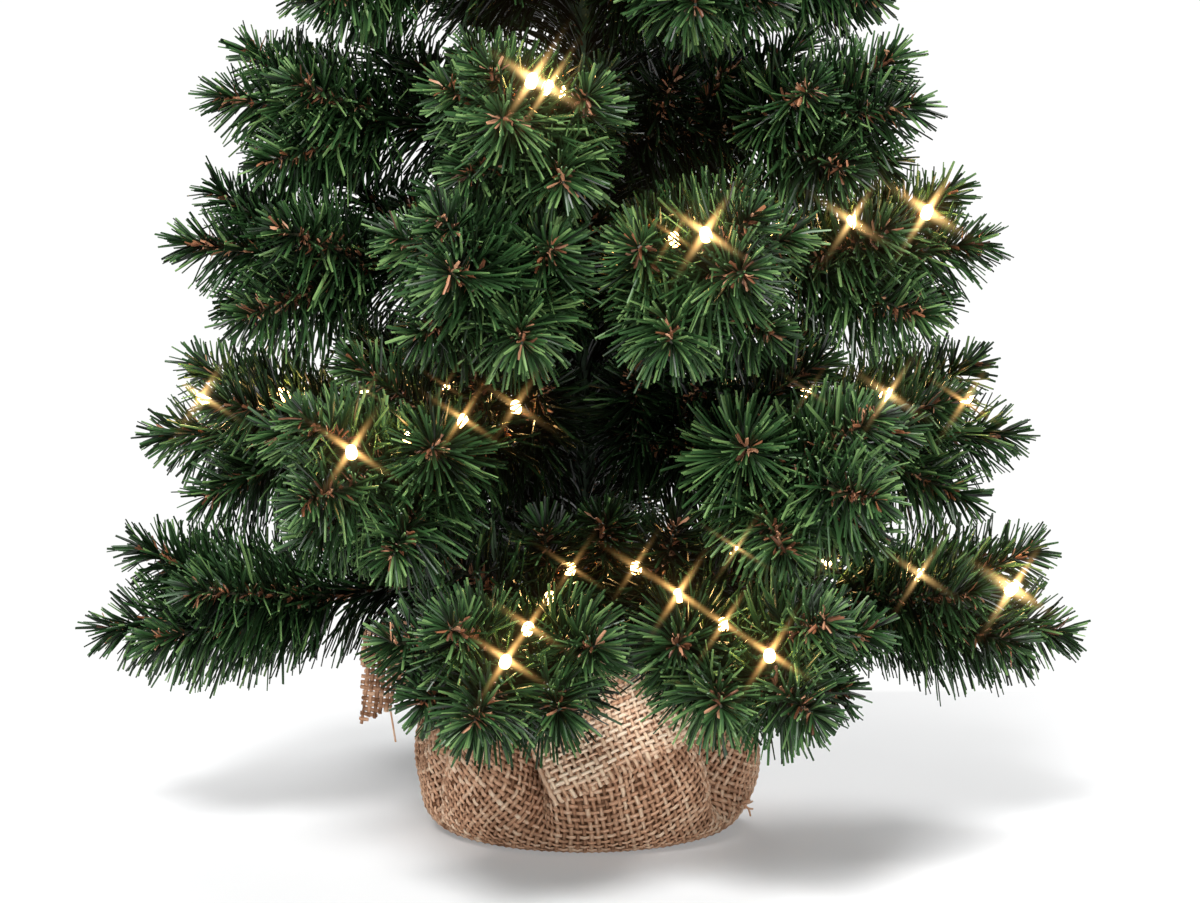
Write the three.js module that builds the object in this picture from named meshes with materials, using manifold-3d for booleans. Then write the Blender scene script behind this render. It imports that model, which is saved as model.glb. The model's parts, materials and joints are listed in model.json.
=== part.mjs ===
// A pre-lit artificial tabletop tree: a weighted tub tied into a burlap sack, a wrapped steel pole,
// bendable wire branches carrying brushes of needles, and a battery-powered string of LEDs.
// Millimetres, +Z up. The origin is on the floor, under the pole.
// The viewer stands on the -Y side, so azimuth 270 faces the viewer and 180 points to the left.

import * as THREE from "three";
import { mergeVertices } from "three/addons/utils/BufferGeometryUtils.js";
import Module from "manifold-3d";

const wasm = await Module();
wasm.setup();

// ---- driving dimensions -------------------------------------------------------------------------

const TREE_HEIGHT = 900;
const CLEARANCE = 0.3; // gap left between pieces that touch on the real object

const CLOTH = 2; // thickness of the burlap
const SACK_PROFILE = [
  [58, 0], [70, 10], [76, 30], [73, 46], [60, 66], [44, 82], [24, 95], [11, 103], [11, 112.6],
];
const SACK_SEGMENTS = 24;
const TWINE_RADIUS = 1.3;

const TUB_RADIUS = 54;
const TUB_HEIGHT = 56;
const TUB_WALL = 2;
const TUB_SEGMENTS = 24;

const POLE_RADIUS = 4.5;
const POLE_BOTTOM = 10;
const POLE_TOP = 600;
const COLLAR_RADIUS = 7; // tape wrapped over the branch wires
const COLLAR_HEIGHT = 20;
const WIRE_RADIUS = 1.7; // twisted wire of a branch
const PIVOT_RADIUS = COLLAR_RADIUS + WIRE_RADIUS + CLEARANCE; // from the pole's axis to where a wire bends

const NEEDLE_REACH = 10; // how far the end needles stand beyond the wire's end
const ENVELOPE_RADIUS = 222; // of the foliage at its widest, needles included
const ENVELOPE_BOTTOM = 80;
const ENVELOPE_POWER = 1.15;

const LOWEST_TIER = 116; // height of the lowest collar
const TIER_PITCH = 63;
// Each tier, from the bottom: rise of its branches in degrees, and the azimuth of each branch.
const TIERS = [
  { rise: -7, azimuths: [180, 258, 296, 358, 100] },
  { rise: -2, azimuths: [168, 234, 308, 12, 88] },
  { rise: 5, azimuths: [192, 252, 292, 348, 80] },
  { rise: 5, azimuths: [186, 258, 330, 70] },
  { rise: 8, azimuths: [200, 300, 0, 110] },
  { rise: 14, azimuths: [180, 262, 70] },
  { rise: 22, azimuths: [225, 330, 90] },
  { rise: 30, azimuths: [200, 290, 70] },
];

// Side tips of a branch: where they leave the main wire and how long they are, as shares of its length,
// with their yaw and rise against it in degrees. The upper left is kept for the cable. Branches on the right
// half of the tree are mirror images, so that their cable and bulbs lie towards the front too.
const SIDE_TIPS = [
  { at: 0.5, share: 0.36, yaw: 34, rise: 12 },
  { at: 0.56, share: 0.36, yaw: -36, rise: 14 },
  { at: 0.34, share: 0.36, yaw: -44, rise: 34 },
  { at: 0.52, share: 0.4, yaw: 22, rise: -24 },
  { at: 0.5, share: 0.4, yaw: -20, rise: -22 },
  { at: 0.64, share: 0.32, yaw: -12, rise: 26 },
];
const LOWEST_TIER_SAG = 0.2; // share of their sag that side tips keep on the lowest tier, to clear the sack
// Rings of three side tips on the leader: where each ring leaves it, as a share of its length, and the
// length, rise above the horizon and first azimuth of the tips.
const LEADER_RINGS = [
  { at: 0.1, reach: 76, rise: 40, azimuth: 20 },
  { at: 0.37, reach: 53, rise: 46, azimuth: 320 },
  { at: 0.63, reach: 33, rise: 55, azimuth: 350 },
];

const MAIN_TIP_RADIUS = 8; // the dense core of a needle brush
const SIDE_TIP_RADIUS = 6.5;
const BARE_WIRE_SHARE = 0.14; // of a main wire, from the pole outwards

const CABLE_RADIUS = 0.9;
const CABLE_GAP = 1.7; // between the cable and the brush it is laid along
const BULB_LENGTH = 13; // with its socket
const BULB_RADIUS = 2.4;
const FIRST_BULB = 0.25; // as a share of the main wire
const BULB_PITCH = 0.2; // from one bulb of a run to the next, as a share of the main wire
const BULBS_PER_RUN = 4;
const RUN_BULBS = Array.from({ length: BULBS_PER_RUN }, (_, i) => FIRST_BULB + i * BULB_PITCH);
const RUN_TURN = 65; // where round the wire the cable and bulbs lie, in degrees up from its cable side
const RUN_CREST = [0.55, 90]; // share and turn at which the cable passes over the wire, between two bulbs
const LIT_BRANCHES = [2, 3, 4, 6, 7, 9, 13, 14, 17, 20, 23, 25]; // by number, from the bottom
const TRUNK_CABLE_AZIMUTH = 40; // clear of every branch wire

const AA_RADIUS = 7.1;
const AA_LENGTH = 50;
const AA_PITCH = 15;
const BOX = { length: 76, width: 52, height: 21, wall: 2 };
const BOX_PLACE = { x: 0, y: 112 };
const BATTERY_BAY = 60; // length of the box that holds the batteries
const LID_THICKNESS = 1.8;
const CONTACT_THICKNESS = 0.6;
const SPRING_LENGTH = 3.4;
const SWITCH_SLOT = { width: 4, length: 10 };
const KNOB_TRAVEL = 5; // the knob stands at its ON end, towards -Y
const CABLE_HOLE = 3;

// ---- finishes -----------------------------------------------------------------------------------

function finish(color, roughness, metalness = 0) {
  return new THREE.MeshStandardMaterial({ color, roughness, metalness });
}
const FOLIAGE = finish(0x1d4a2c, 0.55);
const BURLAP = finish(0xa07c5c, 0.95);
const TWINE = finish(0x8a6a48, 0.9);
const TAPE = finish(0x24402a, 0.7);
const TUB_PLASTIC = finish(0x2a2a2a, 0.6);
const CEMENT = finish(0x9c9a94, 0.95);
const LIGHT_STRING = finish(0x1f3d26, 0.45);
const BOX_PLASTIC = finish(0x202622, 0.5);
const KNOB_PLASTIC = finish(0xd8d8d2, 0.45);
const BOARD = finish(0x2c6a3c, 0.5);
const BATTERY = finish(0x6e7274, 0.35, 0.6);
const SPRING_STEEL = finish(0xc8c8c4, 0.3, 1);

// ---- solids -------------------------------------------------------------------------------------

// A closed geometry as a manifold-3d solid.
function toSolid(geometry) {
  const bare = geometry.clone();
  bare.deleteAttribute("normal");
  bare.deleteAttribute("uv");
  const merged = mergeVertices(bare, 1e-4);
  const index = merged.index.array;
  const kept = [];
  for (let i = 0; i < index.length; i += 3) {
    const [a, b, c] = [index[i], index[i + 1], index[i + 2]];
    if (a !== b && b !== c && c !== a) kept.push(a, b, c);
  }
  const vertProperties = merged.attributes.position.array;
  return new wasm.Manifold(new wasm.Mesh({ numProp: 3, vertProperties, triVerts: new Uint32Array(kept) }));
}

function fromSolid(solid) {
  const mesh = solid.getMesh();
  const geometry = new THREE.BufferGeometry();
  geometry.setAttribute("position", new THREE.BufferAttribute(mesh.vertProperties, 3));
  geometry.setIndex(new THREE.BufferAttribute(mesh.triVerts, 1));
  return geometry;
}

const join = (geometries) => fromSolid(geometries.map(toSolid).reduce((a, b) => a.add(b)));

function cut(geometry, tools) {
  return fromSolid(tools.map(toSolid).reduce((a, b) => a.subtract(b), toSolid(geometry)));
}

function block(x, y, z, cx, cy, cz) {
  return new THREE.BoxGeometry(x, y, z).translate(cx, cy, cz);
}

// A solid of revolution about +Z from [radius, height] points.
function turned(profile, segments) {
  const points = profile.map(([r, z]) => new THREE.Vector2(r, z));
  return new THREE.LatheGeometry(points, segments).rotateX(Math.PI / 2);
}

// A tube of varying radius about a curve. The profile is [share of the curve, radius] points and ends on the
// curve itself at both ends. up is any direction that the curve never runs along.
function swept(curve, profile, segments, up = new THREE.Vector3(0, 0, 1)) {
  const points = profile.map(([share, radius]) => new THREE.Vector2(radius, share));
  const geometry = new THREE.LatheGeometry(points, segments);
  const place = geometry.attributes.position;
  for (let i = 0; i < place.count; i++) {
    const share = place.getY(i);
    const tangent = curve.getTangent(share);
    const across = new THREE.Vector3().crossVectors(up, tangent).normalize();
    const below = new THREE.Vector3().crossVectors(across, tangent);
    const at = curve.getPoint(share);
    at.addScaledVector(across, place.getX(i)).addScaledVector(below, place.getZ(i));
    place.setXYZ(i, at.x, at.y, at.z);
  }
  return geometry;
}

const radians = THREE.MathUtils.degToRad;

// Unit vector from a yaw about +Z and a rise above the horizon, in degrees.
function heading(yaw, rise) {
  const [a, e] = [radians(yaw), radians(rise)];
  return new THREE.Vector3(Math.cos(a) * Math.cos(e), Math.sin(a) * Math.cos(e), Math.sin(e));
}

// A gentle bow from start along a direction, lifting by lift at its end.
function bow(start, direction, length, lift) {
  const middle = start.clone().addScaledVector(direction, length / 2);
  const end = start.clone().addScaledVector(direction, length);
  end.z += lift;
  return new THREE.QuadraticBezierCurve3(start, middle, end);
}

// ---- base ---------------------------------------------------------------------------------------

function sackGeometry() {
  const inner = SACK_PROFILE.slice(1).map(([r, z]) => [r - CLOTH, z - (z < 100 ? CLOTH * 0.4 : 0)]);
  const floor = [[SACK_PROFILE[0][0] - CLOTH, CLOTH], [0, CLOTH]];
  const profile = [[0, 0], ...SACK_PROFILE, ...inner.reverse(), ...floor];
  return turned(profile, SACK_SEGMENTS);
}

// A length of the cloth above the tie, falling over the sack. path is [radius, height] points, widths are its
// half widths in millimetres along the way, azimuth its direction, and slant shortens one side of its hem.
function fallGeometry(path, widths, azimuth, slant = 0) {
  const across = 4;
  const along = 6;
  const line = new THREE.CatmullRomCurve3(path.map(([r, z]) => new THREE.Vector3(r, 0, z)));
  const geometry = new THREE.BoxGeometry(2, 1, CLOTH, across, along, 1);
  const place = geometry.attributes.position;
  for (let i = 0; i < place.count; i++) {
    const side = place.getX(i);
    const share = (0.5 - place.getY(i)) * (1 - slant * side);
    const at = line.getPoint(Math.min(share, 1));
    const tangent = line.getTangent(Math.min(share, 1));
    const stop = share * (widths.length - 1);
    const from = Math.min(Math.floor(stop), widths.length - 2);
    const halfWidth = THREE.MathUtils.lerp(widths[from], widths[from + 1], stop - from);
    const angle = radians(azimuth) + (side * halfWidth) / Math.max(at.x, halfWidth * 0.7);
    const radius = at.x - tangent.z * place.getZ(i);
    place.setXYZ(i, Math.cos(angle) * radius, Math.sin(angle) * radius, at.z + tangent.x * place.getZ(i));
  }
  return geometry;
}

const NECK = [[10, 106], [22, 105]];

function burlapGeometry() {
  const frontHem = fallGeometry(
    [[10, 105], [26, 98.5], [46, 84], [62.5, 67.5], [75, 48], [78, 33]],
    [14, 24, 32, 34, 35, 36],
    281,
    0.16,
  );
  const leftCorner = fallGeometry([...NECK, [52, 94], [98, 54]], [8, 24, 22, 2], 187);
  const rightCorner = fallGeometry([...NECK, [60, 92], [108, 60]], [8, 22, 16, 3], 355);
  const backCorner = fallGeometry([...NECK, [50, 94], [88, 56]], [8, 22, 20, 3], 128);
  return join([sackGeometry(), frontHem, leftCorner, rightCorner, backCorner]);
}

function tubGeometry() {
  const bottom = CLOTH + CLEARANCE;
  const inside = TUB_RADIUS - TUB_WALL;
  const profile = [
    [0, bottom], [TUB_RADIUS - 3, bottom], [TUB_RADIUS, bottom + 3], [TUB_RADIUS, bottom + TUB_HEIGHT],
    [inside, bottom + TUB_HEIGHT], [inside, bottom + TUB_WALL], [0, bottom + TUB_WALL],
  ];
  return turned(profile, TUB_SEGMENTS);
}

// The weight is cast round the foot of the pole, which stands in a blind hole.
function cementGeometry() {
  const bottom = CLOTH + TUB_WALL + 2 * CLEARANCE;
  const radius = TUB_RADIUS - TUB_WALL - CLEARANCE;
  const top = bottom + TUB_HEIGHT - TUB_WALL - 5;
  const hole = POLE_RADIUS + CLEARANCE;
  const seat = POLE_BOTTOM - CLEARANCE;
  const profile = [[0, bottom], [radius, bottom], [radius, top], [hole, top], [hole, seat], [0, seat]];
  return turned(profile, TUB_SEGMENTS);
}

// Two turns of twine round the neck of the sack, just under its rim.
function twineGeometry() {
  const [neckRadius, rim] = SACK_PROFILE.at(-1);
  const radius = neckRadius + CLEARANCE + TWINE_RADIUS;
  const lap = () => new THREE.TorusGeometry(radius, TWINE_RADIUS, 5, SACK_SEGMENTS);
  return join([lap().translate(0, 0, rim - 4.4), lap().translate(0, 0, rim - 2.3)]);
}

// ---- trunk --------------------------------------------------------------------------------------

function poleGeometry() {
  const profile = [[0, POLE_BOTTOM], [POLE_RADIUS, POLE_BOTTOM]];
  for (const height of TIERS.map((_, tier) => tierHeight(tier))) {
    const half = COLLAR_HEIGHT / 2;
    profile.push([POLE_RADIUS, height - half - 4], [COLLAR_RADIUS, height - half]);
    profile.push([COLLAR_RADIUS, height + half], [POLE_RADIUS, height + half + 4]);
  }
  profile.push([POLE_RADIUS * 0.6, POLE_TOP - 40], [POLE_RADIUS * 0.6, POLE_TOP], [0, POLE_TOP]);
  return turned(profile, 8);
}

// Share-radius profile of a needle brush: bare wire for a while, then full, then pointed.
function brushProfile(radius, bare, length) {
  const start = bare > 0 ? [[0, 0], [0.002, WIRE_RADIUS], [bare, WIRE_RADIUS]] : [[0, 0]];
  const swell = bare + (1 - bare) * 0.3;
  const shoulder = Math.max(0.55, 1 - 14 / length);
  return [...start, [swell, radius], [shoulder, radius * 0.85], [1, 0]];
}

function leaderGeometry() {
  const foot = new THREE.Vector3(0, 0, POLE_TOP + CLEARANCE);
  const sideways = new THREE.Vector3(1, 0, 0);
  const length = TREE_HEIGHT - NEEDLE_REACH - foot.z;
  const spire = new THREE.LineCurve3(foot, foot.clone().setZ(foot.z + length));
  const parts = [swept(spire, brushProfile(MAIN_TIP_RADIUS, 0, length), 6, sideways)];
  for (const { at, reach, rise, azimuth } of LEADER_RINGS) {
    for (const turn of [0, 120, 240]) {
      const curve = bow(spire.getPoint(at), heading(azimuth + turn, rise), reach, 4);
      parts.push(swept(curve, brushProfile(SIDE_TIP_RADIUS, 0, reach), 4));
    }
  }
  return join(parts);
}

// ---- branches -----------------------------------------------------------------------------------

// Height of a tier's collar.
const tierHeight = (tier) => LOWEST_TIER + tier * TIER_PITCH;

// Radius of the foliage at a height, needles included.
function envelopeRadius(height) {
  const share = Math.max(0, (height - ENVELOPE_BOTTOM) / (TREE_HEIGHT - ENVELOPE_BOTTOM));
  return ENVELOPE_RADIUS * (1 - share ** ENVELOPE_POWER);
}

// Length of a main wire that reaches the envelope from its pivot.
function reachOf(height, rise) {
  const slope = radians(rise);
  let length = 100;
  for (let i = 0; i < 20; i++) {
    const outer = envelopeRadius(height + length * Math.sin(slope)) - NEEDLE_REACH - PIVOT_RADIUS;
    length = outer / Math.cos(slope);
  }
  return length;
}

// A branch in its own frame: its wire bends at the origin, and it grows along +X.
function mainWire(length, rise) {
  return bow(new THREE.Vector3(), heading(0, rise), length, rise < 0 ? -4 : 6);
}

function branchGeometry(length, rise, sag, hand) {
  const main = mainWire(length, rise);
  const parts = [swept(main, brushProfile(MAIN_TIP_RADIUS, BARE_WIRE_SHARE, length), 6)];
  for (const side of SIDE_TIPS) {
    const reach = side.share * length;
    const start = main.getPoint(side.at);
    const lean = side.rise < 0 ? side.rise * sag : side.rise;
    const curve = bow(start, heading(side.yaw * hand, rise + lean), reach, 3);
    parts.push(swept(curve, brushProfile(SIDE_TIP_RADIUS, 0, reach), 4));
  }
  return join(parts);
}

// ---- light string -------------------------------------------------------------------------------

// A bulb with its socket, pointing along direction from start.
function bulbGeometry(start, direction) {
  const line = new THREE.LineCurve3(start, start.clone().addScaledVector(direction, BULB_LENGTH));
  const socket = BULB_RADIUS * 0.75;
  return swept(line, [[0, 0], [0.02, socket], [0.5, socket], [0.6, BULB_RADIUS], [1, 0]], 5);
}

// The cable of one branch. It lies on the needles, above the cable side of the wire, and carries the bulbs.
function runGeometry(length, rise, hand) {
  const main = mainWire(length, rise);
  const outward = (share, turn) => {
    const tangent = main.getTangent(share);
    const up = new THREE.Vector3(-tangent.z, 0, tangent.x).multiplyScalar(Math.sin(radians(turn)));
    return up.add(new THREE.Vector3(0, hand * Math.cos(radians(turn)), 0));
  };
  const beside = (share, turn) => {
    const radius = share > BARE_WIRE_SHARE ? MAIN_TIP_RADIUS : WIRE_RADIUS;
    return main.getPoint(share).addScaledVector(outward(share, turn), radius + CABLE_RADIUS + CABLE_GAP);
  };
  const [first, second, ...others] = RUN_BULBS.map((place) => [place, RUN_TURN]);
  const stops = [[0.03, 90], [BARE_WIRE_SHARE, 80], first, second, RUN_CREST, ...others, [0.88, 50]];
  const line = new THREE.CatmullRomCurve3(stops.map(([share, turn]) => beside(share, turn)));
  const share = (i) => THREE.MathUtils.clamp(i / (stops.length - 1), 0.001, 0.999);
  const shape = stops.map((_, i) => [share(i), CABLE_RADIUS]);
  const parts = [swept(line, [[0, 0], ...shape, [1, 0]], 4, new THREE.Vector3(0, hand, 0.3).normalize())];
  for (const place of RUN_BULBS) {
    const start = beside(place, RUN_TURN);
    const lean = outward(place, RUN_TURN).addScaledVector(main.getTangent(place), 0.6).normalize();
    parts.push(bulbGeometry(start, lean));
  }
  return join(parts);
}

// The lead from the battery box, up behind the sack and along the pole to the last two bulbs.
function trunkCableGeometry() {
  const back = (radius, height, turn = 90) => heading(turn, 0).multiplyScalar(radius).setZ(height);
  const exit = new THREE.Vector3(BOX_PLACE.x + BOX.length / 2 + CLEARANCE, BOX_PLACE.y, BOX.height / 2);
  const points = [
    exit, new THREE.Vector3(exit.x + 12, exit.y - 2, 6), back(96, 20, 56), back(90, 52, 60), back(66, 84, 64),
    back(34, 106, 68), back(17, 122, 60), back(11, 136, 50),
  ];
  const clear = COLLAR_RADIUS + CABLE_RADIUS + CLEARANCE + 0.5;
  for (let height = 150; height < POLE_TOP - 20; height += 46) {
    points.push(back(clear, height, TRUNK_CABLE_AZIMUTH));
  }
  points.push(back(clear + 2, POLE_TOP - 12, 56), back(15, POLE_TOP + 14, 72), back(14, POLE_TOP + 56, 78));
  const line = new THREE.CatmullRomCurve3(points);
  const steps = 44;
  const shape = [[0, 0], [0.0005, CABLE_RADIUS]];
  for (let i = 1; i < steps; i++) shape.push([i / steps, CABLE_RADIUS]);
  shape.push([0.9995, CABLE_RADIUS], [1, 0]);
  const parts = [swept(line, shape, 4, new THREE.Vector3(0.3, -0.9, 0.1).normalize())];
  parts.push(bulbGeometry(line.getPoint(0.94), heading(76, 20)));
  parts.push(bulbGeometry(line.getPoint(0.99), heading(76, 55)));
  return join(parts);
}

// ---- battery box --------------------------------------------------------------------------------

// The box lies on the floor behind the sack. Its frame: +X along its length, the floor at z = 0.
const BAY_LEFT = -BOX.length / 2 + BOX.wall;
const DIVIDER = BAY_LEFT + BATTERY_BAY; // left face of the wall between the cells and the board
const BOARD_BAY = BOX.length / 2 - BOX.wall - DIVIDER - BOX.wall;
const BOARD_MIDDLE = DIVIDER + BOX.wall + BOARD_BAY / 2;
const CELL_MIDDLE = BAY_LEFT + CLEARANCE + CONTACT_THICKNESS + SPRING_LENGTH + 1 + AA_LENGTH / 2;
const CELL_HEIGHT = BOX.wall + CLEARANCE + AA_RADIUS;
const ROWS = [-1, 0, 1]; // the three cells lie side by side

function housingGeometry() {
  const { length, width, height, wall } = BOX;
  const inside = width - 2 * wall;
  const rebate = LID_THICKNESS + CLEARANCE;
  return cut(block(length, width, height, 0, 0, height / 2), [
    block(BATTERY_BAY, inside, height, BAY_LEFT + BATTERY_BAY / 2, 0, height / 2 + wall),
    block(BOARD_BAY, inside, height - 2 * wall, BOARD_MIDDLE, 0, height / 2),
    // The lid's rebate runs out through the left end, so that the lid can slide off.
    block(BATTERY_BAY + 2 * wall, inside + wall, 2 * rebate, DIVIDER - BATTERY_BAY / 2 - wall, 0, height),
    block(SWITCH_SLOT.width, SWITCH_SLOT.length, wall * 3, BOARD_MIDDLE, 0, height),
    block(wall * 3, CABLE_HOLE, CABLE_HOLE, length / 2, 0, height / 2),
  ]);
}

// A flat lid that slides off lengthways, with a raised thumb rib.
function lidGeometry() {
  const length = BATTERY_BAY + BOX.wall - 2 * CLEARANCE;
  const width = BOX.width - BOX.wall - 2 * CLEARANCE;
  const middle = BAY_LEFT + BATTERY_BAY / 2 - BOX.wall / 2;
  const plate = block(length, width, LID_THICKNESS, middle, 0, BOX.height - LID_THICKNESS / 2);
  const ribs = [-22, -19, -16].map((x) => block(1.2, 18, 1.6, x, 0, BOX.height + 0.2));
  return join([plate, ...ribs]);
}

function cellGeometry() {
  const half = AA_LENGTH / 2;
  const shoulder = half - 1.5;
  const button = [[2.7, shoulder], [2.7, half], [0, half]];
  const profile = [[0, -half], [AA_RADIUS, -half], [AA_RADIUS, shoulder], ...button];
  return turned(profile, 12).rotateY(Math.PI / 2);
}

// The strip of springs at one end of the cells, and the plate at the other.
const contactStrip = () => block(CONTACT_THICKNESS, 3 * AA_PITCH - 3, 12, 0, 0, CELL_HEIGHT);

function springStripGeometry() {
  const coil = [
    [0, 0], [4, 0], [4, 0.9], [3.1, 1.3], [3.1, 2.2], [2.2, 2.6], [2.2, SPRING_LENGTH], [0, SPRING_LENGTH],
  ];
  const facing = () => turned(coil, 8).rotateY(Math.PI / 2);
  const coils = ROWS.map((row) => facing().translate(0.1, row * AA_PITCH, CELL_HEIGHT));
  return join([contactStrip(), ...coils]);
}

function contactPlateGeometry() {
  const pad = [[0, 0], [2.4, 0], [1.8, 1], [0, 1]];
  const facing = () => turned(pad, 8).rotateY(-Math.PI / 2);
  const pads = ROWS.map((row) => facing().translate(-0.1, row * AA_PITCH, CELL_HEIGHT));
  return join([contactStrip(), ...pads]);
}

// The timer board lies behind the divider, with the body of the slide switch on top.
function boardGeometry() {
  const board = block(8, 40, 1.4, 0, 0, 6);
  const chip = block(4, 5, 1.6, 0, -10, 7.2);
  const switchBody = block(6, 12, 9.4, 0, 0, 11.2);
  return join([board, chip, switchBody]);
}

// The knob's stem stands in the slot just above the switch, and its cap lies just above the box.
function knobGeometry() {
  const stem = block(2.6, 3, 5.6, 0, 0, 19);
  const cap = block(5, 4.4, 2, 0, 0, BOX.height + CLEARANCE + 1);
  return join([stem, cap]);
}

// ---- assembly -----------------------------------------------------------------------------------

const tree = new THREE.Group();

function add(parent, name, geometry, material) {
  const mesh = new THREE.Mesh(geometry, material);
  mesh.name = name;
  parent.add(mesh);
  return mesh;
}

const numbered = (word, number) => `${word}_${String(number).padStart(2, "0")}`;

add(tree, "burlap_wrap", burlapGeometry(), BURLAP);
add(tree, "base_tub", tubGeometry(), TUB_PLASTIC);
add(tree, "cement_weight", cementGeometry(), CEMENT);
add(tree, "twine_tie", twineGeometry(), TWINE);
add(tree, "trunk_pole", poleGeometry(), TAPE);
add(tree, "top_leader", leaderGeometry(), FOLIAGE);
add(tree, "trunk_cable", trunkCableGeometry(), LIGHT_STRING);

// Each branch hangs in a group at its pivot, turned to its azimuth.
let number = 0;
TIERS.forEach(({ rise, azimuths }, tier) => {
  const height = tierHeight(tier);
  for (const azimuth of azimuths) {
    number += 1;
    const pivot = new THREE.Group();
    pivot.position.copy(heading(azimuth, 0).multiplyScalar(PIVOT_RADIUS)).setZ(height);
    pivot.rotation.z = radians(azimuth);
    const length = reachOf(height, rise);
    const sag = tier === 0 ? LOWEST_TIER_SAG : 1;
    const hand = heading(azimuth, 0).x > 0.01 ? -1 : 1;
    add(pivot, numbered("branch", number), branchGeometry(length, rise, sag, hand), FOLIAGE);
    if (LIT_BRANCHES.includes(number)) {
      add(pivot, numbered("light_run", number), runGeometry(length, rise, hand), LIGHT_STRING);
    }
    tree.add(pivot);
  }
});

const box = new THREE.Group();
box.position.set(BOX_PLACE.x, BOX_PLACE.y, 0);
add(box, "battery_housing", housingGeometry(), BOX_PLASTIC);
add(box, "battery_lid", lidGeometry(), BOX_PLASTIC);
ROWS.forEach((row, i) => {
  const cell = add(box, `battery_${i + 1}`, cellGeometry(), BATTERY);
  cell.position.set(CELL_MIDDLE, row * AA_PITCH, CELL_HEIGHT);
});
const contactInset = CLEARANCE + CONTACT_THICKNESS / 2;
add(box, "contact_spring_strip", springStripGeometry(), SPRING_STEEL).position.x = BAY_LEFT + contactInset;
add(box, "contact_plate_strip", contactPlateGeometry(), SPRING_STEEL).position.x = DIVIDER - contactInset;
add(box, "control_board", boardGeometry(), BOARD).position.x = BOARD_MIDDLE;
add(box, "switch_knob", knobGeometry(), KNOB_PLASTIC).position.set(BOARD_MIDDLE, -KNOB_TRAVEL / 2, 0);
tree.add(box);

export default tree;
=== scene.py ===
# The looks of a pre-lit artificial tabletop tree: needle brushes on twisted wires, a light string, a trunk
# wrapped in tape, a woven burlap sack round a weighted tub, and a battery box.
# Lengths are in millimetres until a mesh is made; the stage is in metres. The viewer stands on the -Y side,
# +Z is up.

import json
import math

import bpy
import numpy as np
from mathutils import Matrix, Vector


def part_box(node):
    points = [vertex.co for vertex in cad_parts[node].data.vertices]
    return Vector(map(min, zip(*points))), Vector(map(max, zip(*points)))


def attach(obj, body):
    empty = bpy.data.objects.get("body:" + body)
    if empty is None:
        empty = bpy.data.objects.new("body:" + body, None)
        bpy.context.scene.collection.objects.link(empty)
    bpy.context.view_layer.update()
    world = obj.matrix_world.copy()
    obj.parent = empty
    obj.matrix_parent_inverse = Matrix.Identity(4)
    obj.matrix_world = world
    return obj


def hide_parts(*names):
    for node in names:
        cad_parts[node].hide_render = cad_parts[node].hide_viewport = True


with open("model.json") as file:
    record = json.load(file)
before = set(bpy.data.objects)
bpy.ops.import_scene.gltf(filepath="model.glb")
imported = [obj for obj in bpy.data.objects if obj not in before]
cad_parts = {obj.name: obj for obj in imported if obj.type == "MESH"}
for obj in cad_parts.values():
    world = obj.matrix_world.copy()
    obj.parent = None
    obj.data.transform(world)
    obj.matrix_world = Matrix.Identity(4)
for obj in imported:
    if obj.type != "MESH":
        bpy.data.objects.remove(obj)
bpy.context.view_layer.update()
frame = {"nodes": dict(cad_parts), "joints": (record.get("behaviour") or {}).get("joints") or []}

MM = 0.001
BODY = "stand"  # the body that stands still
UP = np.array([0.0, 0.0, 1.0])

# ---- layout of the branches, as shares of each branch's own length ----

# Side tips: where they leave the main wire, length, yaw and rise against it in degrees.
SIDE_TIPS = (
    (0.5, 0.36, 34, 12), (0.56, 0.36, -36, 14), (0.34, 0.36, -44, 34),
    (0.52, 0.4, 22, -24), (0.5, 0.4, -20, -22), (0.64, 0.32, -12, 26),
)
# Small twigs near the pole: the same values, but their rise is against the horizon.
INNER_TWIGS = ((0.16, 0.26, 42, 40), (0.16, 0.24, -44, -24), (0.26, 0.24, 4, 48))
LOWEST_TIER_SAG = 0.2  # share of their sag that side tips keep on the lowest tier, to clear the sack
# Rings of three tips on the leader: share of its length, length in mm, rise and first azimuth in degrees.
LEADER_RINGS = ((0.10, 76, 40, 20), (0.37, 53, 46, 320), (0.63, 33, 55, 350))
BARE_SHARE = 0.14  # of a main wire, where its CAD solid is the wire alone
MAIN_CORE, WIRE_RADIUS = 8.0, 1.7

# ---- needles ----

NEEDLES_PER_MM = 4.3
NEEDLE_LENGTH = 32.0
NEEDLE_WIDTH = 1.45
NEEDLE_THICKNESS = 0.75
NEEDLE_LEAN = 57  # degrees between a needle and its wire
TIP_LEAN = 24  # the same at the wire's end
INNER_BARE_SHARE = 0.04  # of a main wire, before its first needles
TRUNK_NEEDLES_FROM = 134.0  # height above the floor
TRUNK_NEEDLE_LENGTH = 46.0
PAINTED_HEART_SHADE, PAINTED_HEART_SHARE = 0.5, 0.72  # painted shade of the tree's inside: how much darker the needles are at the pole, and how far out
FOLIAGE_RADIUS = 222.0  # from the pole to the widest tips
OUTLINE_TOP = 900.0  # where the outline of the foliage comes to a point
HELIX_PITCH = 12.0  # of the spiral rows that the needles stand in
SPIN_SPREAD = 0.34  # radians that needles stray round their wire
LEAN_SPREAD = 5.0  # degrees
MEAN_SHADE, SHADE_SPREAD = 0.44, 0.22
BARK_PER_MM, BARK_THICKNESS = 1.3, 0.6

# ---- light string ----

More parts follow.
